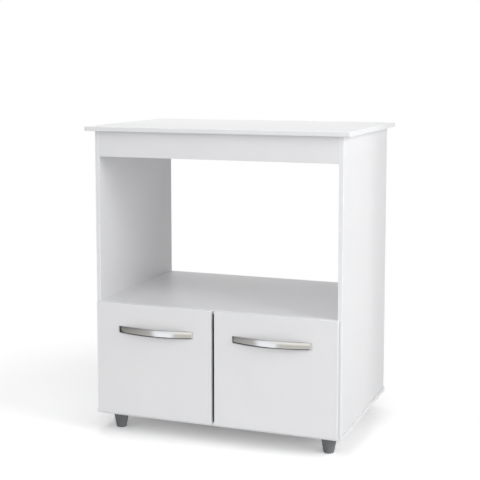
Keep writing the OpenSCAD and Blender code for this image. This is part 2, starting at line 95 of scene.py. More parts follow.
# A short telephoto a little above the table top, three metres off and to the right
CAMERA_AT = (1.0626, -2.877, 1.0108)
CAMERA_DOWN = 6.025
CAMERA_TURN = 20.472
LENS_LENGTH = 82.09
LENS_FRAME = 36
LENS_SHIFT = -0.12
lens = bpy.data.cameras.new("catalogue_camera")
lens.lens = LENS_LENGTH
lens.sensor_width = LENS_FRAME
lens.shift_y = LENS_SHIFT
camera = bpy.data.objects.new("catalogue_camera", lens)
camera.location = CAMERA_AT
camera.rotation_euler = (math.radians(90 - CAMERA_DOWN), 0, math.radians(CAMERA_TURN))
scene.collection.objects.link(camera)
scene.camera = camera

# Air: white wherever the camera or a shiny surface looks. On the rest it is soft light, most of
# it from the front and the rest from behind on the left, where it reaches neither the fronts
# nor the wall of the niche that the camera sees.
AIR_FRONT = 1.47
AIR_SIDES = 0.03
AIR_BEHIND = 0.6
BEHIND = (-0.6, 0.8, 0.0)
BEHIND_EDGE = 0.5
world = bpy.data.worlds.new("studio_air")
world.use_nodes = True
scene.world = world
tree = world.node_tree
tree.nodes.clear()
way = add(tree, "TexCoord").outputs["Generated"]
front = add(tree, "MapRange", {
    "Value": add(tree, "SeparateXYZ", {0: way}).outputs["Y"], "From Min": -1.0, "From Max": 0.0,
    "To Min": AIR_FRONT, "To Max": AIR_SIDES})
behind = add(tree, "VectorMath", {0: way, 1: BEHIND}, operation="DOT_PRODUCT")
behind = add(tree, "MapRange", {
    "Value": behind.outputs["Value"], "From Min": BEHIND_EDGE, "To Max": AIR_BEHIND})
soft = add(tree, "Math", {0: front.outputs[0], 1: behind.outputs[0]}, operation="ADD")
ray = add(tree, "LightPath")
seen = add(tree, "Math", {0: ray.outputs["Is Camera Ray"], 1: ray.outputs["Is Glossy Ray"]},
           operation="MAXIMUM")
seen = add(tree, "Math", {0: seen.outputs[0], 1: ray.outputs["Is Transmission Ray"]},
           operation="MAXIMUM")
strength = add(tree, "Mix", {0: seen.outputs[0], 2: soft.outputs[0], 3: 1.0})
air = add(tree, "Background", {"Color": linear("#ffffff"), "Strength": strength.outputs[0]})
add(tree, "OutputWorld", {"Surface": air.outputs[0]})

# Floor: matt white vinyl. The camera sees it lighter than it is, and pure white far out. It turns
# white sooner at the rear right, which paints light over part of the cabinet's shadow there, and
# elsewhere it keeps that shadow. From below it can be seen through.
FLOOR_HALF = 30
FLOOR_SEEN = 1.72
FLOOR_LIFT = 0.05
WHITE_FROM = 0.5
WHITE_AT = 1.2
REAR_RIGHT = (0.8, 0.6, 0.0)
REAR_RIGHT_FROM = 0.31
REAR_RIGHT_AT = 0.53
floor_white = linear("#e6e6e6")
vinyl, tree = finish_of("matt_white_floor_vinyl")
ray = add(tree, "LightPath")
spot = add(tree, "TexCoord").outputs["Object"]
far = add(tree, "VectorMath", {0: spot}, operation="LENGTH")
far = add(tree, "MapRange", {
    "Value": far.outputs["Value"], "From Min": WHITE_FROM, "From Max": WHITE_AT},
    interpolation_type="SMOOTHSTEP")
aside = add(tree, "VectorMath", {0: spot, 1: REAR_RIGHT}, operation="DOT_PRODUCT")
aside = add(tree, "MapRange", {
    "Value": aside.outputs["Value"], "From Min": REAR_RIGHT_FROM, "From Max": REAR_RIGHT_AT},
    interpolation_type="SMOOTHSTEP")
fade = add(tree, "Math", {0: far.outputs[0], 1: aside.outputs[0]}, operation="MAXIMUM")
matt = add(tree, "BsdfDiffuse", {"Color": floor_white})
lighter = add(tree, "BsdfDiffuse", {"Color": [FLOOR_SEEN * c for c in floor_white]})
lift = add(tree, "Emission", {"Strength": FLOOR_LIFT})
near = add(tree, "AddShader", {0: lighter.outputs[0], 1: lift.outputs[0]})
white = add(tree, "Emission", {"Strength": 1.0})
shown = add(tree, "MixShader", {0: fade.outputs[0], 1: near.outputs[0], 2: white.outputs[0]})
top_side = add(tree, "MixShader", {
    0: ray.outputs["Is Camera Ray"], 1: matt.outputs[0], 2: shown.outputs[0]})
under = add(tree, "BsdfTransparent")
both = add(tree, "MixShader", {
    0: add(tree, "NewGeometry").outputs["Backfacing"],
    1: top_side.outputs[0], 2: under.outputs[0]})
add(tree, "OutputMaterial", {"Surface": both.outputs[0]})
floor = made_of(
    "studio_floor",
    [(x * FLOOR_HALF, y * FLOOR_HALF, 0) for x, y in ((-1, -1), (1, -1), (1, 1), (-1, 1))],
    [(0, 1, 2, 3)], vinyl)
floor.visible_glossy = False


def softbox(name, place, aim, side, brightness):
    """A square lamp that faces a point; brightness is how light its front looks."""
    lamp = bpy.data.lights.new(name, "AREA")
    lamp.shape = "RECTANGLE"
    lamp.size = side
    lamp.size_y = side
    lamp.energy = brightness * math.pi * side * side
    hung = bpy.data.objects.new(name, lamp)
    hung.location = place
    hung.rotation_euler = (Vector(aim) - Vector(place)).to_track_quat("-Z", "Y").to_euler()
    hung.visible_camera = False
    hung.visible_glossy = False
    scene.collection.objects.link(hung)


# The right one lights that side and rakes the doors, and the other is for the top
softbox("right_softbox", place=(2.4, -0.6, 1.5), aim=(0.3, 0, 0.4), side=1.4, brightness=5.45)
softbox("overhead_softbox", place=(-0.4, 0.4, 2.4), aim=(0, 0, 0.4), side=1.2, brightness=3.1)

# Net: grey cloth beside the rear half of the cabinet, which holds back a third of the right
# softbox, so that side falls off towards the wall. It hangs clear of the floor, which it leaves
# light there, and only the light meets it.
NET_PASSES = 0.68
NET_X = 0.55
NET_Y = (0.035, 0.9)
NET_Z = (0.17, 1.1)
net_cloth, tree = finish_of("grey_net_cloth")
weave = add(tree, "BsdfTransparent", {"Color": [NET_PASSES] * 3 + [1.0]})
add(tree, "OutputMaterial", {"Surface": weave.outputs[0]})
net = made_of(
    "light_net",
    [(NET_X, NET_Y[0], NET_Z[0]), (NET_X, NET_Y[1], NET_Z[0]),
     (NET_X, NET_Y[1], NET_Z[1]), (NET_X, NET_Y[0], NET_Z[1])],
    [(0, 1, 2, 3)], net_cloth)
for sort in ("camera", "diffuse", "glossy", "transmission", "volume_scatter"):
    setattr(net, "visible_" + sort, False)

# Reflection wall: a curved card round the front left that only reflections see. It glows with a
# painted brightness and so paints the reflections in the handles: its bright band stands for a
# tall softbox, and the glow on its left shades off, which gives the handles their painted shade.
# It is near black low down and at the far left, which draws the dark lines under them and at
# their ends. Reflections don't see the floor, so the card goes on far below it.
CARD_R = 2.6
CARD_MIDDLE = (0.0, -0.255)
CARD_LOW = -8.0
CARD_HIGH = 8.0
CARD_TURNS = range(-115, 31, 5)
CARD_DARK = 0.03
BAND_LEFT = math.radians(-28.2)
BAND_LEFT_BLUR = 0.04
BAND_RIGHT = math.radians(-8.3)
BAND_RIGHT_BLUR = 0.015
LIT_FROM = -1.75
LIT_AT = -1.45
glowing_card, tree = finish_of("glowing_reflection_card")
spot = add(tree, "SeparateXYZ", {0: add(tree, "TexCoord").outputs["Object"]})
turn = add(tree, "Math", {0: spot.outputs["Y"], 1: -1.0}, operation="MULTIPLY")
turn = add(tree, "Math", {0: spot.outputs["X"], 1: turn.outputs[0]}, operation="ARCTAN2").outputs[0]
height = spot.outputs["Z"]

# The ramps: each follows the height over the floor, or the turn to the right of straight ahead,
# and has the two ends that it runs between and what it gives at each. The first four are the
# painted glow of the band, of what is right of it, and of the card far from the band and near it.
# The others lean the band, go from far glow to near, and end the dark at the left and low down.
ramps = {
    "band": (height, 0.0, 0.12, 1.52, 1.35),
    "right": (height, 0.0, 0.12, 0.86, 1.33),
    "far_card_glow": (height, -1.2, 0.4, 0.60, 0.32),
    "near_card_glow": (height, -1.2, 0.4, 0.72, 0.62),
    "lean": (height, -1.75, -0.35, 0.06, 0.0),
    "nearness": (turn, math.radians(-56), math.radians(-31), 0.0, 1.0),
    "past_end": (turn, math.radians(-64), math.radians(-60), 0.0, 1.0),
    "dark_rise": (turn, math.radians(-50), math.radians(-10), 0.7, 0.15)}
ramp = {
    name: add(tree, "MapRange", {
        "Value": follows, "From Min": start, "From Max": end,
        "To Min": at_start, "To Max": at_end}).outputs[0]
    for name, (follows, start, end, at_start, at_end) in ramps.items()}
upright = add(tree, "Math", {0: turn, 1: ramp["lean"]}, operation="ADD")
in_band = add(tree, "MapRange", {
    "Value": upright.outputs[0],
    "From Min": BAND_LEFT - BAND_LEFT_BLUR, "From Max": BAND_LEFT + BAND_LEFT_BLUR})
in_right = add(tree, "MapRange", {
    "Value": upright.outputs[0],
    "From Min": BAND_RIGHT - BAND_RIGHT_BLUR, "From Max": BAND_RIGHT + BAND_RIGHT_BLUR})
above = add(tree, "Math", {0: height, 1: ramp["dark_rise"]}, operation="SUBTRACT")
lit = add(tree, "MapRange", {"Value": above.outputs[0], "From Min": LIT_FROM, "From Max": LIT_AT})
lit = add(tree, "Math", {0: lit.outputs[0], 1: ramp["past_end"]}, operation="MULTIPLY")
left = add(tree, "Mix", {0: ramp["nearness"], 2: ramp["far_card_glow"], 3: ramp["near_card_glow"]})
shade = add(tree, "Mix", {0: in_band.outputs[0], 2: left.outputs[0], 3: ramp["band"]})
shade = add(tree, "Mix", {0: in_right.outputs[0], 2: shade.outputs[0], 3: ramp["right"]})
shade = add(tree, "Mix", {0: lit.outputs[0], 2: CARD_DARK, 3: shade.outputs[0]})
tint = add(tree, "Mix", {
    0: in_band.outputs[0], 6: linear("#fffefb"), 7: linear("#f6f9ff")}, data_type="RGBA")
tint = add(tree, "Mix", {
    0: in_right.outputs[0], 6: tint.outputs[2], 7: linear("#fffdf8")}, data_type="RGBA")
card = add(tree, "Emission", {"Color": tint.outputs[2], "Strength": shade.outputs[0]})
add(tree, "OutputMaterial", {"Surface": card.outputs[0]})
# The card's glow is painted reflection only: lamps never sample it
glowing_card.cycles.emission_sampling = "NONE"
arc = [math.radians(a) for a in CARD_TURNS]
rim = [(CARD_R * math.sin(a), -CARD_R * math.cos(a)) for a in arc]
reflection_wall = made_of(
    "reflection_wall",
    [(x, y, z) for z in (CARD_LOW, CARD_HIGH) for x, y in rim],
    [(i, i + 1, i + 1 + len(rim), i + len(rim)) for i in range(len(rim) - 1)], glowing_card)
reflection_wall.location = (*CARD_MIDDLE, 0)
for sort in ("camera", "diffuse", "transmission", "shadow", "volume_scatter"):
    setattr(reflection_wall, "visible_" + sort, False)


# Base board
# Twelve-millimetre particleboard under the whole cupboard, faced with white melamine pressed
# on as paper, with white PVC band glued round its front and sides. The rear edge is left raw.

PEBBLE = 0.003
PEBBLE_RISE = 0.00002
CLOUD = 0.12
WAVE = 0.07
WAVE_RISE = 0.0004
CHIP = 0.003
CHIP_RISE = 0.0003
BAND_ROUGH = 0.32
RAW_ROUGH = 0.9
BORE_DEPTH = 0.0007


def zones_of(part, tree, faces, bare, bore_depth):
    """Two sockets: where a board is raw, and where it is a face rather than an edge."""
    low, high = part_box(part)
    middle, half = (low + high) / 2, (high - low) / 2
    coords = add(tree, "TexCoord")

    # How far a point lies inside the board's own box tells a bore's wall from an outer face
    off = add(tree, "VectorMath", {0: coords.outputs["Object"], 1: middle}, operation="SUBTRACT")
    off = add(tree, "VectorMath", {0: off.outputs[0]}, operation="ABSOLUTE")
    deep = add(tree, "VectorMath", {0: half, 1: off.outputs[0]}, operation="SUBTRACT")
    deep = add(tree, "SeparateXYZ", {0: deep.outputs[0]})
    least = add(tree, "Math", {0: deep.outputs["X"], 1: deep.outputs["Y"]}, operation="MINIMUM")
    least = add(tree, "Math", {0: least.outputs[0], 1: deep.outputs["Z"]}, operation="MINIMUM")
    raw = add(tree, "Math", {0: least.outputs[0], 1: bore_depth}, operation="GREATER_THAN")

    # Which way it looks tells a bare edge from a banded one, and a band from a face, with the
    # eased arrises between the two
    towards = add(tree, "SeparateXYZ", {0: coords.outputs["Normal"]})
    for axis, sign in bare:
        looks = add(tree, "Math", {0: towards.outputs[axis], 1: sign}, operation="MULTIPLY")
        looks = add(tree, "MapRange", {
            "Value": looks.outputs[0], "From Min": 0.6, "From Max": 0.8})
        raw = add(tree, "Math", {0: raw.outputs[0], 1: looks.outputs[0]}, operation="MAXIMUM")
    on_face = add(tree, "Math", {0: towards.outputs[faces]}, operation="ABSOLUTE")
    on_face = add(tree, "MapRange", {
        "Value": on_face.outputs[0], "From Min": 0.15, "From Max": 0.97})
    return raw.outputs[0], on_face.outputs[0]


def faced_board(part, faces, bare=(), bore_depth=BORE_DEPTH):
    """Dresses a board node: melamine on the two faces along the axis `faces`, band round the
    edges, and raw particleboard on the (axis, sign) edges listed as bare and in the bores, which
    are all that lies deeper inside the board's box than that."""
    material, tree = finish_of("white_melamine_" + part)
    raw, on_face = zones_of(part, tree, faces, bare, bore_depth)
    place = add(tree, "TexCoord").outputs["Object"]

    # Melamine: an even satin white whose press plate leaves a fine pebble, 1.5 mm apart in
    # fact and 3 mm here so that it shows, over a slow unevenness of the board beneath
    clouds = add(tree, "TexNoise", {"Vector": place, "Scale": 1 / CLOUD, "Detail": 3.0})
    melamine = add(tree, "Mix", {
        0: clouds.outputs["Fac"], 6: linear("#eeeef0"), 7: linear("#f2f2f3")}, data_type="RGBA")
    pebble = add(tree, "TexNoise", {"Vector": place, "Scale": 1 / PEBBLE, "Detail": 1.0})
    wave = add(tree, "TexNoise", {"Vector": place, "Scale": 1 / WAVE, "Detail": 0.0})

    # PVC band: a shade cooler and smoother, and whiter still at the arrises, where scraping
    # rounded it. That whitening is partly real and partly a painted highlight, which draws a thin
    # pale line along every edge
    scraped_white_and_highlight = add(tree, "Math", {0: on_face, 1: 0.5, 2: 0.45}, operation="COMPARE")
    band = add(tree, "Mix", {
        0: on_face, 6: linear("#f3f4f6"), 7: melamine.outputs[2]}, data_type="RGBA")
    band = add(tree, "Mix", {
        0: scraped_white_and_highlight.outputs[0], 6: band.outputs[2], 7: linear("#fdfdfd")}, data_type="RGBA")

    # Raw particleboard: pressed chips about three millimetres across in three browns
    chips = add(tree, "TexVoronoi", {"Vector": place, "Scale": 1 / CHIP, "Randomness": 1.0})
    chip = add(tree, "SeparateColor", {0: chips.outputs["Color"]})
    wood = add(tree, "ValToRGB", {0: chip.outputs[0]})
    wood.color_ramp.elements[0].color = linear("#8f6d48")
    wood.color_ramp.elements[1].color = linear("#cdb084")
    wood.color_ramp.elements.new(0.5).color = linear("#b08d60")

    colour = add(tree, "Mix", {0: raw, 6: band.outputs[2], 7: wood.outputs[0]}, data_type="RGBA")
    sheen = add(tree, "MapRange", {
        "Value": pebble.outputs["Fac"], "From Min": 0.3, "From Max": 0.7,
        "To Min": 0.36, "To Max": 0.46})
    sheen = add(tree, "Mix", {0: on_face, 2: BAND_ROUGH, 3: sheen.outputs[0]})
    sheen = add(tree, "Mix", {0: raw, 2: sheen.outputs[0], 3: RAW_ROUGH})
    relief = add(tree, "Mix", {0: raw, 2: pebble.outputs["Fac"], 3: chip.outputs[0]})
    rise = add(tree, "Mix", {0: raw, 2: PEBBLE_RISE, 3: CHIP_RISE})
    bump = add(tree, "Bump", {
        "Strength": 1.0, "Distance": WAVE_RISE, "Height": wave.outputs["Fac"]})
    bump = add(tree, "Bump", {
        "Strength": 1.0, "Distance": rise.outputs[0], "Height": relief.outputs[0],
        "Normal": bump.outputs[0]})
    skin = add(tree, "BsdfPrincipled", {
        "Base Color": colour.outputs[2], "Roughness": sheen.outputs[0], "IOR": 1.5,
        "Normal": bump.outputs[0]})
    add(tree, "OutputMaterial", {"Surface": skin.outputs[0]})
    dress(part, material)


def dress(part, material):
    """Gives a carried-over part its finish."""
    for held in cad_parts[part].material_slots:
        held.material = material


# Arris sorter: geometry nodes that mark a part's sharp edges for a bevel where they are longer
# than a given length. The short steps round its bores stay as sharp as a drill leaves them.
SHARP = math.radians(35)
arrises = bpy.data.node_groups.new("arris_sorter", "GeometryNodeTree")
arrises.interface.new_socket("Geometry", in_out="INPUT", socket_type="NodeSocketGeometry")
arrises.interface.new_socket("Longer Than", in_out="INPUT", socket_type="NodeSocketFloat")
arrises.interface.new_socket("Geometry", in_out="OUTPUT", socket_type="NodeSocketGeometry")
given = add(arrises, "NodeGroupInput")
ends = add(arrises, "GeometryNodeInputMeshEdgeVertices")
length = add(arrises, "VectorMath", {
    0: ends.outputs["Position 1"], 1: ends.outputs["Position 2"]}, operation="DISTANCE")
angle = add(arrises, "GeometryNodeInputMeshEdgeAngle")
sharp = add(arrises, "Math", {
    0: angle.outputs["Unsigned Angle"], 1: SHARP}, operation="GREATER_THAN")
eased = add(arrises, "Math", {
    0: length.outputs["Value"], 1: given.outputs["Longer Than"]}, operation="GREATER_THAN")
eased = add(arrises, "Math", {0: sharp.outputs[0], 1: eased.outputs[0]}, operation="MULTIPLY")
left_sharp = add(arrises, "Math", {0: sharp.outputs[0], 1: eased.outputs[0]}, operation="SUBTRACT")
marked = add(arrises, "GeometryNodeStoreNamedAttribute", {
    "Geometry": given.outputs["Geometry"], "Name": "bevel_weight_edge",
    "Value": eased.outputs[0]}, data_type="FLOAT", domain="EDGE")
crisp = add(arrises, "GeometryNodeSetShadeSmooth", {
    0: marked.outputs["Geometry"], "Selection": left_sharp.outputs[0], "Shade Smooth": False},
    domain="EDGE")
add(arrises, "NodeGroupOutput", {0: crisp.outputs[0]})

SEAM = 0.00001
FLAT = math.radians(0.5)
SHORT_EDGE = 0.0022


def ease(part, radius, longer_than=SHORT_EDGE):
    """Rounds a part's sharp arrises to about that radius, where they are longer than that."""
    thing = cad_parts[part]
    seams = thing.modifiers.new("joined_seams", "WELD")
    seams.merge_threshold = SEAM
    whole = thing.modifiers.new("whole_faces", "DECIMATE")
    whole.decimate_type = "DISSOLVE"
    whole.angle_limit = FLAT
    marks = thing.modifiers.new("sorted_arrises", "NODES")
    marks.node_group = arrises
    marks[arrises.interface.items_tree["Longer Than"].identifier] = longer_than
    edge = thing.modifiers.new("eased_arrises", "BEVEL")
    edge.width = radius
    edge.segments = 2
    edge.limit_method = "WEIGHT"
    edge.use_clamp_overlap = False
    edge.face_strength_mode = "FSTR_ALL"
    flat = thing.modifiers.new("flat_faces", "WEIGHTED_NORMAL")
    flat.keep_sharp = True
    flat.use_face_influence = True


X, Y, Z = 0, 1, 2
BOARD_ARRIS = 0.001
faced_board("base_board", Z, bare=[(Y, 1)])
ease("base_board", BOARD_ARRIS)


# Feet
# Tapered feet moulded in grey ABS, each with a wide recess up its middle. A zinc-plated screw
# up the recess fixes it under the base board.

def turned(name, outline, sides, material, closed=True):
    """A turned shape about Z from (radius, height) points in metres; closed joins its ends."""
    verts, rings = [], []
    for r, z in outline:
        if r == 0:
            rings.append([len(verts)] * sides)
            verts.append((0, 0, z))
        else:
            rings.append(list(range(len(verts), len(verts) + sides)))
            turns = [2 * math.pi * k / sides for k in range(sides)]
            verts += [(r * math.cos(t), r * math.sin(t), z) for t in turns]
    faces = []
    for k in range(len(rings) if closed else len(rings) - 1):
        a, b = rings[k], rings[(k + 1) % len(rings)]
        for i in range(sides):
            j = (i + 1) % sides
            faces.append(list(dict.fromkeys((a[i], a[j], b[j], b[i]))))
    shape = made_of(name, verts, faces, material)
    smooth(shape)
    return shape


def smooth(shape):
    """Shades a shape smooth but for its corners."""
    shape.data.polygons.foreach_set("use_smooth", [True] * len(shape.data.polygons))
    mesh = bmesh.new()
    mesh.from_mesh(shape.data)
    bmesh.ops.recalc_face_normals(mesh, faces=mesh.faces)
    for edge in mesh.edges:
        edge.smooth = not edge.is_manifold or edge.calc_face_angle() < SHARP
    mesh.to_mesh(shape.data)
    mesh.free()


# Moulded ABS from a spark-eroded tool: matt dark grey with a fine even grain, 0.5 mm in fact
# and 1.2 mm here, so the light spreads over it and no highlight is sharp
GRAIN = 0.0012
FLOW = 0.02
abs_grey, tree = finish_of("moulded_grey_abs")
place = add(tree, "TexCoord").outputs["Object"]
grain = add(tree, "TexNoise", {"Vector": place, "Scale": 1 / GRAIN, "Detail": 2.0})
flow = add(tree, "TexNoise", {"Vector": place, "Scale": 1 / FLOW, "Detail": 2.0})
tone = add(tree, "Mix", {
    0: flow.outputs["Fac"], 6: linear("#6b6d70"), 7: linear("#797b7d")}, data_type="RGBA")
dull = add(tree, "MapRange", {
    "Value": grain.outputs["Fac"], "From Min": 0.3, "From Max": 0.7,
    "To Min": 0.42, "To Max": 0.58})
bump = add(tree, "Bump", {"Strength": 0.8, "Distance": 0.0001, "Height": grain.outputs["Fac"]})
skin = add(tree, "BsdfPrincipled", {
    "Base Color": tone.outputs[2], "Roughness": dull.outputs[0], "IOR": 1.54,
    "Normal": bump.outputs[0]})
add(tree, "OutputMaterial", {"Surface": skin.outputs[0]})

FOOT_H = 0.050
FOOT_TOP_R = 0.0235
FOOT_TOP_EDGE = 0.0004
FOOT_FLOOR_R = 0.0145
FOOT_FLOOR_EDGE = 0.0028
FOOT_BORE_R = 0.0055
FOOT_BORE_EDGE = 0.0006
FOOT_ROOF_Z = 0.036
FOOT_SCREW_R = 0.00205
FOOT_SIDES = 96
edge_turns = [math.radians(a) for a in range(0, -91, -15)]
foot_outline = [
    (FOOT_SCREW_R, FOOT_H), (FOOT_TOP_R - FOOT_TOP_EDGE, FOOT_H),
    (FOOT_TOP_R, FOOT_H - FOOT_TOP_EDGE)]
foot_outline += [
    (FOOT_FLOOR_R - FOOT_FLOOR_EDGE * (1 - math.cos(a)), FOOT_FLOOR_EDGE * (1 + math.sin(a)))
    for a in edge_turns]
foot_outline += [
    (FOOT_BORE_R + FOOT_BORE_EDGE, 0), (FOOT_BORE_R, FOOT_BORE_EDGE),
    (FOOT_BORE_R, FOOT_ROOF_Z), (FOOT_SCREW_R, FOOT_ROOF_Z)]
for corner in ("front_left", "front_right", "rear_left", "rear_right"):
    low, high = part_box("foot_" + corner)
    foot = turned("tapered_foot_" + corner, foot_outline, FOOT_SIDES, abs_grey)
    foot.location = ((low.x + high.x) / 2, (low.y + high.y) / 2, 0)
    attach(foot, "cabinet")
    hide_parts("foot_" + corner)

# Bright zinc plate on steel: a clean cool grey metal with a faint haze from the bath
HAZE = 0.002
zinc_plate, tree = finish_of("bright_zinc_plate")
place = add(tree, "TexCoord").outputs["Object"]
haze = add(tree, "TexNoise", {"Vector": place, "Scale": 1 / HAZE, "Detail": 3.0})
tone = add(tree, "Mix", {
    0: haze.outputs["Fac"], 6: linear("#b4b7bb"), 7: linear("#c6c8cb")}, data_type="RGBA")
dull = add(tree, "MapRange", {"Value": haze.outputs["Fac"], "To Min": 0.24, "To Max": 0.38})
skin = add(tree, "BsdfPrincipled", {
    "Base Color": tone.outputs[2], "Metallic": 1.0, "Roughness": dull.outputs[0]})
add(tree, "OutputMaterial", {"Surface": skin.outputs[0]})
dress("foot_screws", zinc_plate)


# Side boards
# Two upright boards that stand on the base and carry the top. Each is banded at the front, and
# its rear edge, which goes to the wall, is left raw.

for side in ("left_side", "right_side"):
    faced_board(side, X, bare=[(Y, 1)])
    ease(side, BOARD_ARRIS)

# Long hex-socket screws come up through the base into the sides, with dowels beside them as at
# every joint of the boards. The dowels are dry turned beech: pale, with fine darker flecks.
FLECK = (0.006, 0.006, 0.001)
dress("base_screws_long", zinc_plate)
beech, tree = finish_of("turned_beech")
place = add(tree, "TexCoord").outputs["Object"]
stretch = add(tree, "Mapping", {"Vector": place, "Scale": [1 / size for size in FLECK]})
fibre = add(tree, "TexNoise", {"Vector": stretch.outputs[0], "Scale": 1.0, "Detail": 4.0})
tone = add(tree, "Mix", {
    0: fibre.outputs["Fac"], 6: linear("#b98f5e"), 7: linear("#dcbd92")}, data_type="RGBA")
bump = add(tree, "Bump", {"Strength": 0.5, "Distance": 0.0001, "Height": fibre.outputs["Fac"]})
skin = add(tree, "BsdfPrincipled", {
    "Base Color": tone.outputs[2], "Roughness": 0.7, "IOR": 1.5, "Normal": bump.outputs[0]})
add(tree, "OutputMaterial", {"Surface": skin.outputs[0]})
dress("dowels", beech)


# Niche shelf
# The board that the oven stands on, and the roof of the cupboard. Bolts in the sides reach into
# its ends, where cam discs in its underside pull them tight. Rails and top are held so too.

faced_board("niche_shelf", Z, bare=[(Y, 1), (X, 1), (X, -1)])
ease("niche_shelf", BOARD_ARRIS)
dress("cam_bolts", zinc_plate)

# Die-cast zinc: a darker, duller grey than plate, slightly uneven from the die
DIE_MARK = 0.0015
cast_zinc, tree = finish_of("die_cast_zinc")
place = add(tree, "TexCoord").outputs["Object"]
die_marks = add(tree, "TexNoise", {"Vector": place, "Scale": 1 / DIE_MARK, "Detail": 3.0})
tone = add(tree, "Mix", {
    0: die_marks.outputs["Fac"], 6: linear("#93959a"), 7: linear("#aeb0b3")}, data_type="RGBA")
dull = add(tree, "MapRange", {"Value": die_marks.outputs["Fac"], "To Min": 0.38, "To Max": 0.55})
bump = add(tree, "Bump", {
    "Strength": 0.4, "Distance": 0.0001, "Height": die_marks.outputs["Fac"]})
skin = add(tree, "BsdfPrincipled", {
    "Base Color": tone.outputs[2], "Metallic": 1.0, "Roughness": dull.outputs[0],
    "Normal": bump.outputs[0]})
add(tree, "OutputMaterial", {"Surface": skin.outputs[0]})
dress("cam_discs", cast_zinc)


# Front and rear rails
# Two boards on edge between the sides, right under the top: the front one closes off the top of
# the niche. Both are faced on both sides and banded along the lower edge.

for rail in ("front_rail", "rear_rail"):
    faced_board(rail, Y, bare=[(X, 1), (X, -1), (Z, 1)])
    ease(rail, BOARD_ARRIS)


# Top board
# The board that the microwave stands on. It runs out past the front and both sides, with its
# two front corners rounded before the band goes round them. Its rear edge is raw.

# The round corners lie a little inside the board's box, and aren't to be taken for bores. The
# bevel runs round them too, over their short steps.
TOP_BORE_DEPTH = 0.0018
TOP_ARRIS = 0.0012
CORNER_STEP = 0.0005
faced_board("top_board", Z, bare=[(Y, 1)], bore_depth=TOP_BORE_DEPTH)
ease("top_board", TOP_ARRIS, longer_than=CORNER_STEP)


# Back panel
# Three-millimetre hardboard nailed over the back of the cupboard alone. It is lacquered white
# inside and bare brown behind, where the pressed fibres show.

FIBRE = 0.004
PATCH = 0.09
BARE_ROUGH = 0.72
LACQUER_ROUGH = 0.45
hardboard, tree = finish_of("lacquered_hardboard")
coords = add(tree, "TexCoord")
place = coords.outputs["Object"]
outward = add(tree, "SeparateXYZ", {0: coords.outputs["Normal"]})
inside = add(tree, "Math", {0: outward.outputs["Y"], 1: -0.5}, operation="LESS_THAN")
fibre = add(tree, "TexNoise", {
    "Vector": place, "Scale": 1 / FIBRE, "Detail": 6.0, "Roughness": 0.7})
patches = add(tree, "TexNoise", {"Vector": place, "Scale": 1 / PATCH, "Detail": 2.0})
brown = add(tree, "ValToRGB", {0: fibre.outputs["Fac"]})
brown.color_ramp.elements[0].position = 0.3
brown.color_ramp.elements[0].color = linear("#6f4e30")
brown.color_ramp.elements[1].position = 0.7
brown.color_ramp.elements[1].color = linear("#a07a52")
brown = add(tree, "Mix", {
    0: patches.outputs["Fac"], 6: brown.outputs[0], 7: linear("#94704a")}, data_type="RGBA")
tone = add(tree, "Mix", {
    0: inside.outputs[0], 6: brown.outputs[2], 7: linear("#ececea")}, data_type="RGBA")
dull = add(tree, "Mix", {0: inside.outputs[0], 2: BARE_ROUGH, 3: LACQUER_ROUGH})
bump = add(tree, "Bump", {"Strength": 0.6, "Distance": 0.0002, "Height": fibre.outputs["Fac"]})
skin = add(tree, "BsdfPrincipled", {
    "Base Color": tone.outputs[2], "Roughness": dull.outputs[0], "IOR": 1.5,
    "Normal": bump.outputs[0]})
add(tree, "OutputMaterial", {"Surface": skin.outputs[0]})
dress("back_panel", hardboard)
dress("back_nails", zinc_plate)


# Hinge plates and arms
# Pressed steel, nickel plated: a plate screwed inside the side board, and the cranked arm that
# is screwed on the plate and reaches into the door.

# Nickel plate over pressed steel: warmer and smoother than zinc, so it mirrors softly
DRAW_MARK = 0.003
nickel, tree = finish_of("nickel_plated_steel")
place = add(tree, "TexCoord").outputs["Object"]
drawn = add(tree, "TexNoise", {"Vector": place, "Scale": 1 / DRAW_MARK, "Detail": 3.0})
tone = add(tree, "Mix", {
    0: drawn.outputs["Fac"], 6: linear("#bdbab4"), 7: linear("#cfccc6")}, data_type="RGBA")
dull = add(tree, "MapRange", {"Value": drawn.outputs["Fac"], "To Min": 0.16, "To Max": 0.30})
skin = add(tree, "BsdfPrincipled", {
    "Base Color": tone.outputs[2], "Metallic": 1.0, "Roughness": dull.outputs[0]})
add(tree, "OutputMaterial", {"Surface": skin.outputs[0]})

HINGE_ARRIS = 0.0002
hinge_ends = [side + end for side in ("_left", "_right") for end in ("_upper", "_lower")]
for hinge in hinge_ends:
    for part in ("hinge_plate" + hinge, "hinge_arm" + hinge):
        dress(part, nickel)
        ease(part, HINGE_ARRIS)
dress("plate_screws", zinc_plate)
dress("arm_screws", zinc_plate)


# Doors
# Two boards faced both sides and banded all round, hung over the front edges of the carcass
# with eight millimetres between them.

for door in ("left_door", "right_door"):
    faced_board(door, Y)
    ease(door, BOARD_ARRIS)


# Hinge cups
# Pressed cups let into bores in the doors' backs and screwed through their flanges. A steel pin
# across each holds the end of its arm.

for hinge in hinge_ends:
    dress("hinge_cup" + hinge, nickel)
    ease("hinge_cup" + hinge, HINGE_ARRIS)
    dress("hinge_pin" + hinge, zinc_plate)
dress("left_cup_screws", zinc_plate)
dress("right_cup_screws", zinc_plate)


# Handles
# Bows cast in zinc and plated in satin chrome, crowned along the front, with solid ends that
# stand on the door. Two screws from inside the door hold each.

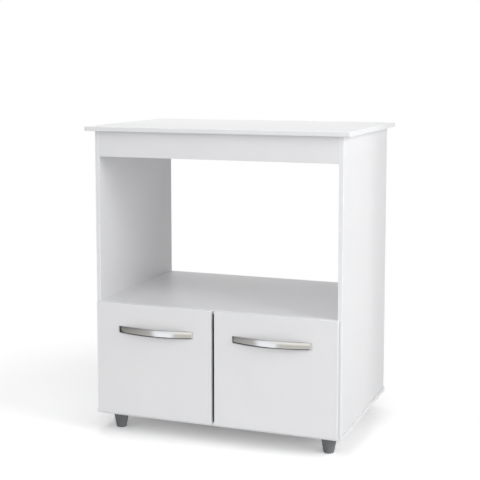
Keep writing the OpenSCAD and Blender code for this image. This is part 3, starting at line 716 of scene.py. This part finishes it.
# Satin chrome: a bright, slightly warm grey that mirrors broad shapes with soft edges. The
# polishing lines run along the bow, 0.2 mm apart in fact and 0.8 mm here.
POLISH_LINE = (0.03, 0.03, 0.0008)
satin_chrome, tree = finish_of("satin_chrome")
place = add(tree, "TexCoord").outputs["Object"]
stretch = add(tree, "Mapping", {"Vector": place, "Scale": [1 / size for size in POLISH_LINE]})
lines = add(tree, "TexNoise", {"Vector": stretch.outputs[0], "Scale": 1.0, "Detail": 3.0})
tone = add(tree, "Mix", {
    0: lines.outputs["Fac"], 6: linear("#c6c5c4"), 7: linear("#cecdcb")}, data_type="RGBA")
dull = add(tree, "MapRange", {"Value": lines.outputs["Fac"], "To Min": 0.09, "To Max": 0.15})
bump = add(tree, "Bump", {"Strength": 0.3, "Distance": 0.00003, "Height": lines.outputs["Fac"]})
skin = add(tree, "BsdfPrincipled", {
    "Base Color": tone.outputs[2], "Metallic": 1.0, "Roughness": dull.outputs[0],
    "Normal": bump.outputs[0]})
add(tree, "OutputMaterial", {"Surface": skin.outputs[0]})

# The bow's half length, reach and heights, then how its edges are rolled. Where the section is
# thin, its rolls take at most these shares of it, and its tips stop short of a point.
BOW_HALF = 0.110
BOW_REACH = 0.020
BOW_TIP = 0.003
BOW_T = 0.004
BOW_SOLID = 0.025
BOW_END_H = 0.019
BOW_MID_H = 0.021
BOW_TOP_ROLL = 0.0028
BOW_FOOT_ROLL = 0.0044
BOW_ROLL_OUT = 0.0026
BOW_ROLL_START = math.radians(10.5)
BOW_ROLL_SHARE = 0.65
BOW_BACK_ROLL = 0.0005
BOW_BACK_SHARE = 0.2
BOW_END_ROUND = 0.006
BOW_END_SHARE = 0.98
BOW_STATIONS = 80
TIP_TURNS = range(10, 81, 10)
CROWN_POINTS = 4
ROLL_POINTS = 7


def arc_height(along, half, rise):
    """The height at `along` of the arc that rises by rise over a chord of twice half."""
    radius = (half * half + rise * rise) / (2 * rise)
    return rise - radius + math.sqrt(radius * radius - along * along)


def half_section(front, back, half_h, roll):
    """Half of the bow's section, as (out of the door, up) points from its back to its middle:
    a small back corner, a front corner rolled over that height, and a slightly crowned face."""
    out = min(BOW_ROLL_OUT, BOW_ROLL_SHARE * (front - back))
    small = min(BOW_BACK_ROLL, BOW_BACK_SHARE * (front - back))
    flat = half_h - roll * (1 - math.sin(BOW_ROLL_START))
    crown = 0.5 * flat * math.tan(BOW_ROLL_START) * out / roll
    half = [(back, half_h - small), (back + small, half_h)]
    for k in range(ROLL_POINTS):
        a = math.pi / 2 + (BOW_ROLL_START - math.pi / 2) * k / ROLL_POINTS
        half.append((
            front - crown - out * (math.cos(BOW_ROLL_START) - math.cos(a)),
            half_h - roll * (1 - math.sin(a))))
    for k in range(CROWN_POINTS):
        across = 1 - k / CROWN_POINTS
        half.append((front - crown * across * across, across * flat))
    return half


def bow_ring(along):
    """The bow's section at `along`, as (out of the door, up) points from back top to back foot."""
    inner_half = BOW_HALF - BOW_SOLID
    front = BOW_TIP + arc_height(along, BOW_HALF, BOW_REACH - BOW_TIP)
    past = max(0.0, abs(along) - (BOW_HALF - BOW_END_ROUND))
    front *= math.sqrt(1 - min(BOW_END_SHARE, (past / BOW_END_ROUND) ** 2))
    back = 0.0
    if abs(along) < inner_half:
        back = arc_height(along, inner_half, BOW_REACH - BOW_T)
    half_h = BOW_END_H / 2 + arc_height(along, BOW_HALF, (BOW_MID_H - BOW_END_H) / 2)
    upper = half_section(front, back, half_h, BOW_TOP_ROLL)
    lower = half_section(front, back, half_h, BOW_FOOT_ROLL)
    return upper + [(front, 0.0)] + [(out, -up) for out, up in reversed(lower)]


def bow(name, middle):
    """A bow handle whose middle is at that point of the door's face."""
    stops = [-BOW_HALF + 2 * BOW_HALF * k / BOW_STATIONS for k in range(1, BOW_STATIONS)]
    stops += [-(BOW_HALF - BOW_SOLID), BOW_HALF - BOW_SOLID]
    for turn in TIP_TURNS:
        end = BOW_HALF - BOW_END_ROUND * (1 - math.sin(math.radians(turn)))
        stops += [-end, end]
    rings = [[
        (middle.x + along, middle.y - out, middle.z + up) for out, up in bow_ring(along)]
        for along in sorted(stops)]
    size = len(rings[0])
    faces = [
        (k * size + i, k * size + (i + 1) % size,
         (k + 1) * size + (i + 1) % size, (k + 1) * size + i)
        for k in range(len(rings) - 1) for i in range(size)]
    faces.append(tuple(range(size)))
    faces.append(tuple(reversed(range((len(rings) - 1) * size, len(rings) * size))))
    shape = made_of(name, [point for ring in rings for point in ring], faces, satin_chrome)
    smooth(shape)
    return shape


for side in ("left", "right"):
    low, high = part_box(side + "_handle")
    on_door = Vector(((low.x + high.x) / 2, high.y, (low.z + high.z) / 2))
    handle = bow(side + "_bow_handle", on_door)
    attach(handle, side + "_door_leaf")
    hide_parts(side + "_handle")
    dress(side + "_handle_screws", zinc_plate)


# Door bumpers
# Four small domed pads of milky polyurethane, stuck to the carcass front near the middle, that
# the doors close on.

# Cast polyurethane: a milky white, slightly cloudy, with a soft gloss
MILK = 0.002
polyurethane, tree = finish_of("cast_polyurethane")
place = add(tree, "TexCoord").outputs["Object"]
milk = add(tree, "TexNoise", {"Vector": place, "Scale": 1 / MILK, "Detail": 2.0})
tone = add(tree, "Mix", {
    0: milk.outputs["Fac"], 6: linear("#e4e5e3"), 7: linear("#eeeeec")}, data_type="RGBA")
skin = add(tree, "BsdfPrincipled", {
    "Base Color": tone.outputs[2], "Roughness": 0.35, "IOR": 1.5})
add(tree, "OutputMaterial", {"Surface": skin.outputs[0]})

PAD_R = 0.003
PAD_T = 0.0027
PAD_WALL = 0.0012
PAD_SIDES = 32
dome_turns = [math.radians(a) for a in range(15, 90, 15)]
pad_outline = [(0, 0), (PAD_R, 0), (PAD_R, PAD_WALL)]
pad_outline += [
    (PAD_R * math.cos(a), PAD_WALL + (PAD_T - PAD_WALL) * math.sin(a)) for a in dome_turns]
pad_outline += [(0, PAD_T)]
low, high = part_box("door_bumpers")
pad = turned("domed_door_pads", pad_outline, PAD_SIDES, polyurethane, closed=False)
facing_door = Matrix.Rotation(math.radians(90), 4, "X")
pads = bmesh.new()
for x in (low.x + PAD_R, high.x - PAD_R):
    for z in (low.z + PAD_R, high.z - PAD_R):
        one = bmesh.new()
        one.from_mesh(pad.data)
        one.transform(Matrix.Translation((x, high.y, z)) @ facing_door)
        spare = bpy.data.meshes.new("one_pad")
        one.to_mesh(spare)
        one.free()
        pads.from_mesh(spare)
        bpy.data.meshes.remove(spare)
pads.to_mesh(pad.data)
pads.free()
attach(pad, "cabinet")
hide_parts("door_bumpers")
